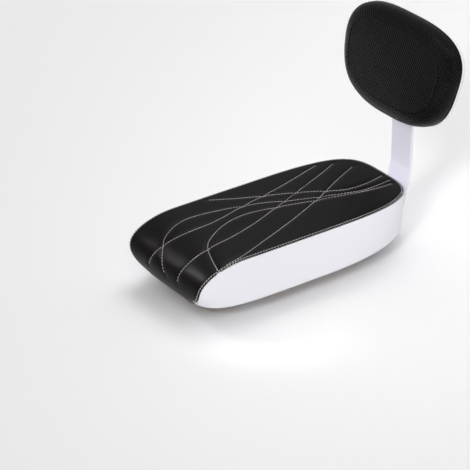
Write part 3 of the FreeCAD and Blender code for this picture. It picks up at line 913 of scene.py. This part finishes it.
class CUSHION_OT_seat_stitching(bpy.types.Operator):
    """Sews the decorative lines and the edge line of the seat's top panel"""

    bl_idname = "cushion_seat.seat_stitching"
    bl_label = "Seat stitching"

    def execute(self, context):
        mesh = SHARED["panel"]
        lines = [on_surface(path, mesh) for path in stitch_paths()]
        piece = stitch_piece("seat_decor_stitches", lines)
        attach(piece, "root")
        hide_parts("seat_stitch_lines")

        plan = seat_panel_plan()
        edge = stitch_mm("edge")
        outer = around(plan)
        seam = seat_top(outer[:, 0], outer[:, 1])
        inward = unit(np.cross(np.gradient(seam, axis=0), on_surface(seam, mesh)[1]))
        line = even(seam - inward * edge, seam, EDGE_LINE_POINTS)
        edge_piece = stitch_piece("seat_edge_stitches", [on_surface(line, mesh)])
        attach(edge_piece, "root")
        return {"FINISHED"}


# Backrest

PAD_POWER = 2.9
EDGE_TURN = math.radians(83.0)
PAD_SIDE = 28
BORDER_TURN = 8
BORDER_WALL = 2
TURN_ROWS = 4
BACK_ROWS = np.array([25.0, 45.0])


def pad_spread(high):
    """Share of the pad's width at a height above its middle: it grows evenly towards the top."""
    return 1 + bpy.context.scene.cushion_backrest.taper * high / pad_mm("half_height")


def pad_outline(angle, inset):
    """Squared-off ellipse of the pad in its own plane, drawn in by an inset and wider towards the top."""
    cosine, sine = power_pair(angle, PAD_POWER)
    high = (pad_mm("half_height") - inset) * cosine
    x = (pad_mm("half_width") - inset) * sine * pad_spread(high)
    return np.stack([x, pad_mm("centre_up") + high], axis=-1)


def pad_place(plan, depth):
    """Turns places in the pad's leaning plane, with depth to the front, into points of the frame."""
    lean = bpy.context.scene.cushion_backrest.tilt
    forward = depth + pad_mm("bar_half")
    y = pad_mm("neck_y") + plan[..., 1] * math.sin(lean) - forward * math.cos(lean)
    z = pad_mm("neck_z") + plan[..., 1] * math.cos(lean) + forward * math.sin(lean)
    return np.stack([plan[..., 0] + 0.0 * y, y, z], axis=-1)


def pad_front():
    """Grid of the pad's front: a patch between four stretches of the edge line, raised by a crown that
    falls off with the square of the squared-off radius. Also the outline angles of the rim, in order."""
    insets, depths = pad_border()
    inset = insets[0]
    share = np.linspace(0.0, 1.0, PAD_SIDE + 1)
    stretches = [0.25 * np.pi * (2 * number - 1 + 2 * share) for number in range(4)]
    angles = [even(angle[:, None], pad_outline(angle, inset), PAD_SIDE + 1)[:, 0] for angle in stretches]
    top, right, bottom, left = [pad_outline(angle, inset) for angle in angles]
    plan = patch(top, bottom[::-1], left[::-1], right, share, share)
    high = plan[..., 1] - pad_mm("centre_up")
    across = plan[..., 0] / (pad_mm("half_width") - inset) / pad_spread(high)
    up = high / (pad_mm("half_height") - inset)
    radius = (np.abs(across) ** PAD_POWER + np.abs(up) ** PAD_POWER) ** (1 / PAD_POWER)
    depth = depths[0] + pad_mm("crown") * (1 - radius**2)
    return plan, depth, np.concatenate([angle[:-1] for angle in angles])


def pad_border():
    """Inset and depth of each row of the border: nearly a quarter circle from the front's edge, then
    straight to the back seam."""
    radius = pad_mm("front_round")
    turn = np.linspace(EDGE_TURN, 0.0, BORDER_TURN + 1)
    base = pad_mm("rim") - radius
    straight = base + (pad_mm("seam") - base) * np.linspace(0.0, 1.0, BORDER_WALL + 1)[1:]
    inset = np.concatenate([radius * (1 - np.cos(turn)), np.zeros(BORDER_WALL)])
    return inset, np.concatenate([base + radius * np.sin(turn), straight])


def pad_back():
    """Inset and depth of each row of the back: a quarter circle from the wall, then level inwards."""
    radius = pad_mm("back_round")
    turn = np.linspace(0.0, 0.5 * np.pi, TURN_ROWS + 1)
    inset = np.concatenate([radius * (1 - np.cos(turn)), radius + BACK_ROWS])
    return inset, np.concatenate([radius * (1 - np.sin(turn)), 0.0 * BACK_ROWS])


class CUSHION_OT_backrest_cover(bpy.types.Operator):
    """Makes the backrest's perforated front with its border, and its white back"""

    bl_idname = "cushion_seat.backrest_cover"
    bl_label = "Backrest cover"

    def execute(self, context):
        plan, depth, angles = pad_front()
        front = pad_place(plan, depth)
        numbers = numbered(*plan.shape[:2])
        rim = np.concatenate([numbers[0, :-1], numbers[:-1, -1], numbers[-1, :0:-1], numbers[:0:-1, 0]])
        border_inset, border_depth = pad_border()
        border = pad_place(pad_outline(angles[None], border_inset[1:, None]), border_depth[1:, None])
        back_inset, back_depth = pad_back()
        back = pad_place(pad_outline(angles[None], back_inset[:, None]), back_depth[:, None])
        hub = pad_place(np.array([[0.0, pad_mm("centre_up")]]), 0.0)

        border_numbers = numbered(len(border), len(rim), numbers.size)
        first_back = numbers.size + border_numbers.size
        border_numbers = np.concatenate([rim[None], border_numbers])
        back_numbers = numbered(len(back), len(rim), first_back)
        back_numbers = np.concatenate([border_numbers[-1:], back_numbers])
        points = np.concatenate([front.reshape(-1, 3), border.reshape(-1, 3), back.reshape(-1, 3), hub])
        face = quads(numbers)
        wall = quads(border_numbers, closed=True)
        rear = quads(back_numbers, closed=True)
        hub_number = np.full(len(rim), len(points) - 1)
        fan = np.stack([back_numbers[-1], np.roll(back_numbers[-1], -1), hub_number], axis=1)

        held = np.zeros(len(points))
        held[border_numbers[-1]] = 1.0
        held[first_back:] = 1.0
        swollen = swell(points, face_lists(face, wall, rear, fan), held, pad_mm("swell"))

        cover = new_mesh("backrest_front", swollen[:first_back], face_lists(face, wall))
        turns = np.append(angles, angles[0] + 2 * np.pi)
        edge = pad_outline(turns, border_inset[0])
        outward = unit(pad_outline(turns, 0.0) - edge)
        down = way_along(np.stack([border_inset, border_depth], axis=1))
        border_sheet = edge[None] + outward[None] * down[:, None, None]
        add_sheet_map(cover, np.concatenate([grid_corners(plan), grid_corners(border_sheet)]))
        subdivide(cover)
        moved = points_of(cover.data)
        distance, _ = nearest(moved, swollen[border_numbers[-1]])
        push = -BACK_SEAM_DEPTH * bell(distance, SEAM_WIDTH)
        set_points(cover.data, moved + normals_of(cover.data) * push[:, None])
        smooth(cover)

        back_grid = np.concatenate([back_numbers, hub_number[None]])
        shell_faces = quads(numbered(*back_grid.shape), closed=True)
        shell = new_mesh("backrest_back", swollen[back_grid], shell_faces)
        smooth(shell)
        front_nodes = ("backrest_front_cover", "backrest_foam")
        for piece, material, slot, nodes in (
            (cover, perforated_leathercloth, "black_perforated_leathercloth", front_nodes),
            (shell, white_leathercloth, "white_leathercloth", ("backrest_back_cover",)),
        ):
            give(piece, kept_material(material))
            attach(piece, "root")
            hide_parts(*nodes)
        return {"FINISHED"}


class CUSHION_OT_hardware(bpy.types.Operator):
    """Gives the bar, boards, clamps and fasteners their finishes"""

    bl_idname = "cushion_seat.hardware"
    bl_label = "Bar, boards and fasteners"

    def execute(self, context):
        clamps = ("front_clamp_plate", "rear_clamp_plate")
        clamp_fasteners = ("clamp_bolts", "clamp_washers", "clamp_spring_washers")
        seat_fasteners = ("bar_leg_screws", "seat_tee_nuts", "seat_cover_staples")
        backrest_fasteners = ("backrest_tee_nuts", "backrest_bolts", "backrest_washers")
        for material, nodes in (
            (powder_paint, ("backrest_bar",)),
            (birch_plywood, ("seat_base_board", "backrest_board")),
            (zinc_plate, clamps + clamp_fasteners + seat_fasteners + backrest_fasteners),
        ):
            for node in nodes:
                give(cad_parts[node], kept_material(material))
        return {"FINISHED"}


# Stage

CAMERA_AZIMUTH = 53.854
CAMERA_ELEVATION = 28.712
CAMERA_ROLL = 0.2
CAMERA_DISTANCE = 2.9535
CAMERA_ANGLE = 11.0
CAMERA_TARGET = (0.0, -0.0735, 0.0419)
SENSOR_WIDTH = 36.0
FLOOR_REACH = 40000.0
WORLD_STRENGTH = 0.46

# Each lamp: name, place, target and side in metres, power in watts, spread in degrees
LAMPS = (
    ("backrest glint", (1.1, -1.6, 1.5), (0.09, 0.15, 0.23), 0.5, 0.62, 26.0),
    ("front sheen", (-1.61, -1.06, 1.68), (0.042, -0.168, 0.043), 0.08, 0.013, 3.6),
    ("side", (3.0, -2.0, 3.2), (0.0, 0.0, 0.08), 2.2, 38.0, 180.0),
    ("top", (-1.4, 1.7, 4.4), (0.0, 0.0, 0.08), 3.0, 84.0, 180.0),
)


def studio_floor(lowest):
    """A wide pale floor under the lowest point."""
    reach = FLOOR_REACH
    corner = np.array([[-reach, -reach], [reach, -reach], [reach, reach], [-reach, reach]])
    points = np.column_stack([corner, np.full(4, lowest / MM)])
    floor = new_mesh("studio_floor", points, [[0, 1, 2, 3]])
    inputs = {"Base Color": finish_colour("floor"), "Roughness": 0.9}
    give(floor, new_material("Pale studio floor", inputs)[0])
    floor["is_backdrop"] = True


def studio_lamp(name, place, target, size, watts, spread):
    """A square soft lamp that faces a target; a grid before it may narrow its spread."""
    data = bpy.data.lights.new(name, "AREA")
    data.shape = "SQUARE"
    data.size = size
    data.energy = watts
    data.spread = math.radians(spread)
    lamp = add_object(name, data)
    lamp.location = place
    direction = Vector(target) - Vector(place)
    lamp.rotation_euler = direction.to_track_quat("-Z", "Y").to_euler()


def studio_camera():
    """Camera at the viewing angle, looking at its target from far away with a long lens."""
    azimuth = math.radians(CAMERA_AZIMUTH)
    elevation = math.radians(CAMERA_ELEVATION)
    level = math.cos(elevation)
    back = np.array([math.sin(azimuth) * level, -math.cos(azimuth) * level, math.sin(elevation)])
    data = bpy.data.cameras.new("camera")
    data.sensor_width = SENSOR_WIDTH
    data.lens = SENSOR_WIDTH / 2 / math.tan(math.radians(CAMERA_ANGLE) / 2)
    data.clip_end = 100.0
    camera = add_object("camera", data)
    camera.location = np.array(CAMERA_TARGET) + back * CAMERA_DISTANCE
    aim = Euler((math.pi / 2 - elevation, 0.0, azimuth)).to_matrix()
    camera.rotation_euler = (aim @ Matrix.Rotation(math.radians(CAMERA_ROLL), 3, "Z")).to_euler()
    bpy.context.scene.camera = camera


class CUSHION_OT_stage(bpy.types.Operator):
    """Sets the floor, the soft light and the camera"""

    bl_idname = "cushion_seat.stage"
    bl_label = "Studio"

    def execute(self, context):
        scene = context.scene
        scene.view_settings.view_transform = "Standard"
        studio_floor(float(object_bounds()[0][2]))
        world = bpy.data.worlds.new("studio")
        world.use_nodes = True
        world.node_tree.nodes["Background"].inputs["Color"].default_value = (1.0, 1.0, 1.0, 1.0)
        world.node_tree.nodes["Background"].inputs["Strength"].default_value = WORLD_STRENGTH
        scene.world = world
        for lamp in LAMPS:
            studio_lamp(*lamp)
        studio_camera()
        return {"FINISHED"}


class CUSHION_PT_panel(bpy.types.Panel):
    """Lists the steps and sizes in the sidebar"""

    bl_label = "Cushion seat"
    bl_idname = "CUSHION_PT_panel"
    bl_space_type = "VIEW_3D"
    bl_region_type = "UI"
    bl_category = "Cushion seat"

    def draw(self, context):
        for operator in OPERATORS:
            self.layout.operator(operator.bl_idname)
        for name, group in GROUPS.items():
            box = self.layout.box()
            box.label(text=group.__doc__)
            for key in group.__annotations__:
                box.prop(getattr(context.scene, name), key)


GROUPS = {
    "cushion_seat": SeatSizes,
    "cushion_backrest": BackrestSizes,
    "cushion_stitch": StitchSizes,
    "cushion_finish": FinishColours,
}
OPERATORS = (
    CUSHION_OT_seat_cover,
    CUSHION_OT_seat_stitching,
    CUSHION_OT_backrest_cover,
    CUSHION_OT_hardware,
    CUSHION_OT_stage,
)


def register():
    """Adds the classes and their settings to Blender."""
    for name, group in GROUPS.items():
        bpy.utils.register_class(group)
        setattr(bpy.types.Scene, name, bpy.props.PointerProperty(type=group))
    for operator in OPERATORS:
        bpy.utils.register_class(operator)
    bpy.utils.register_class(CUSHION_PT_panel)


def unregister():
    """Takes the classes and their settings out again."""
    bpy.utils.unregister_class(CUSHION_PT_panel)
    for operator in OPERATORS:
        bpy.utils.unregister_class(operator)
    for name, group in GROUPS.items():
        delattr(bpy.types.Scene, name)
        bpy.utils.unregister_class(group)


def main():
    """Registers the add-on and makes every piece in order."""
    register()
    bpy.ops.cushion_seat.seat_cover()
    bpy.ops.cushion_seat.seat_stitching()
    bpy.ops.cushion_seat.backrest_cover()
    bpy.ops.cushion_seat.hardware()
    bpy.ops.cushion_seat.stage()


if __name__ == "__main__":
    main()
